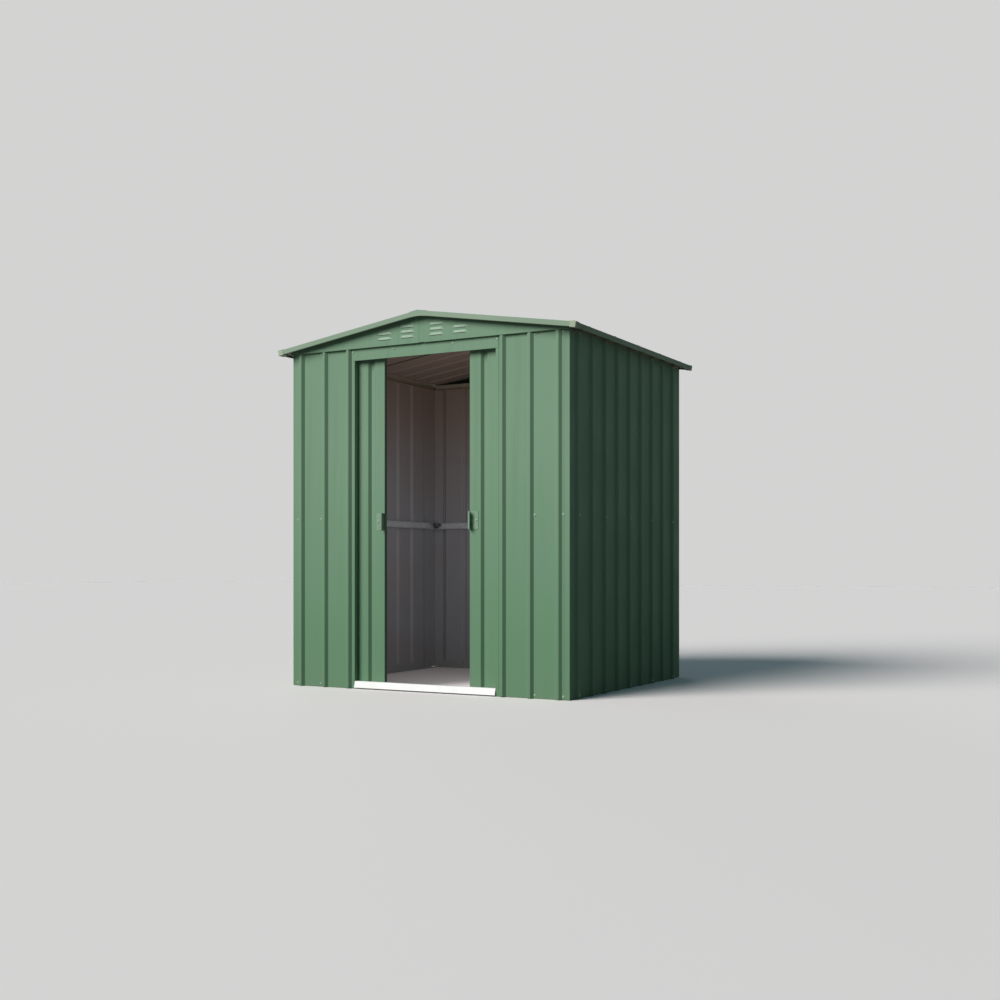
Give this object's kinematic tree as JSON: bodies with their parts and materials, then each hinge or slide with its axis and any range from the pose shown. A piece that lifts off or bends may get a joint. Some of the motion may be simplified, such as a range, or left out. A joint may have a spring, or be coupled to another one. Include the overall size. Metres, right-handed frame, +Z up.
{
  "type": "metal storage shed",
  "caption": "Small metal storage shed with ribbed sheet walls on a rail frame, a low apex roof with louvred gables and two doors that slide apart on a track.",
  "frame": {"origin": "on the ground under the middle of the shed's outer box", "axes": "+X to the right seen from the doors, +Y to the rear, +Z up"},
  "size_m": [1.6916, 1.503, 1.8519],
  "materials": {
    "green_sheet": "satin",
    "roof_trim": "satin",
    "galvanised_rail": "satin",
    "white_sill": "satin",
    "pull_plastic": "satin",
    "pale_plastic": "matte"
  },
  "bodies": {
    "shed": {"front_wall_left": "green_sheet", "front_wall_right": "green_sheet", "left_wall_front": "green_sheet", "left_wall_rear": "green_sheet", "right_wall_front": "green_sheet", "right_wall_rear": "green_sheet", "rear_wall_left": "green_sheet", "rear_wall_right": "green_sheet", "front_corner_posts": "green_sheet", "rear_corner_posts": "green_sheet", "front_gable_left": "green_sheet", "front_gable_right": "green_sheet", "rear_gable_left": "green_sheet", "rear_gable_right": "green_sheet", "gable_splices": "green_sheet", "door_header": "green_sheet", "door_jambs": "green_sheet", "roof_left_front": "green_sheet", "roof_left_rear": "green_sheet", "roof_right_front": "green_sheet", "roof_right_rear": "green_sheet", "ridge_cap": "roof_trim", "verge_trim_front": "roof_trim", "verge_trim_rear": "roof_trim", "eave_trim_left": "roof_trim", "eave_trim_right": "roof_trim", "roof_corner_caps": "roof_trim", "base_rail_front": "galvanised_rail", "base_rail_rear": "galvanised_rail", "base_rail_left": "galvanised_rail", "base_rail_right": "galvanised_rail", "mid_rail_rear": "galvanised_rail", "mid_rails_front": "galvanised_rail", "mid_rails_side": "galvanised_rail", "top_rail_rear": "galvanised_rail", "top_rails_side": "galvanised_rail", "door_track": "galvanised_rail", "door_sill": "white_sill"},
    "left_door": {"left_door_panel": "green_sheet", "left_door_braces": "galvanised_rail", "left_door_runners": "pale_plastic", "left_door_pull": "pull_plastic"},
    "right_door": {"right_door_panel": "green_sheet", "right_door_braces": "galvanised_rail", "right_door_runners": "pale_plastic", "right_door_pull": "pull_plastic"}
  },
  "joints": [
    {"name": "left_door_slide", "type": "slide", "parent": "shed", "child": "left_door", "axis": [1, 0, 0], "range_m": [-0.06, 0.2415]},
    {"name": "right_door_slide", "type": "slide", "parent": "shed", "child": "right_door", "axis": [-1, 0, 0], "range_m": [-0.06, 0.2415]}
  ]
}
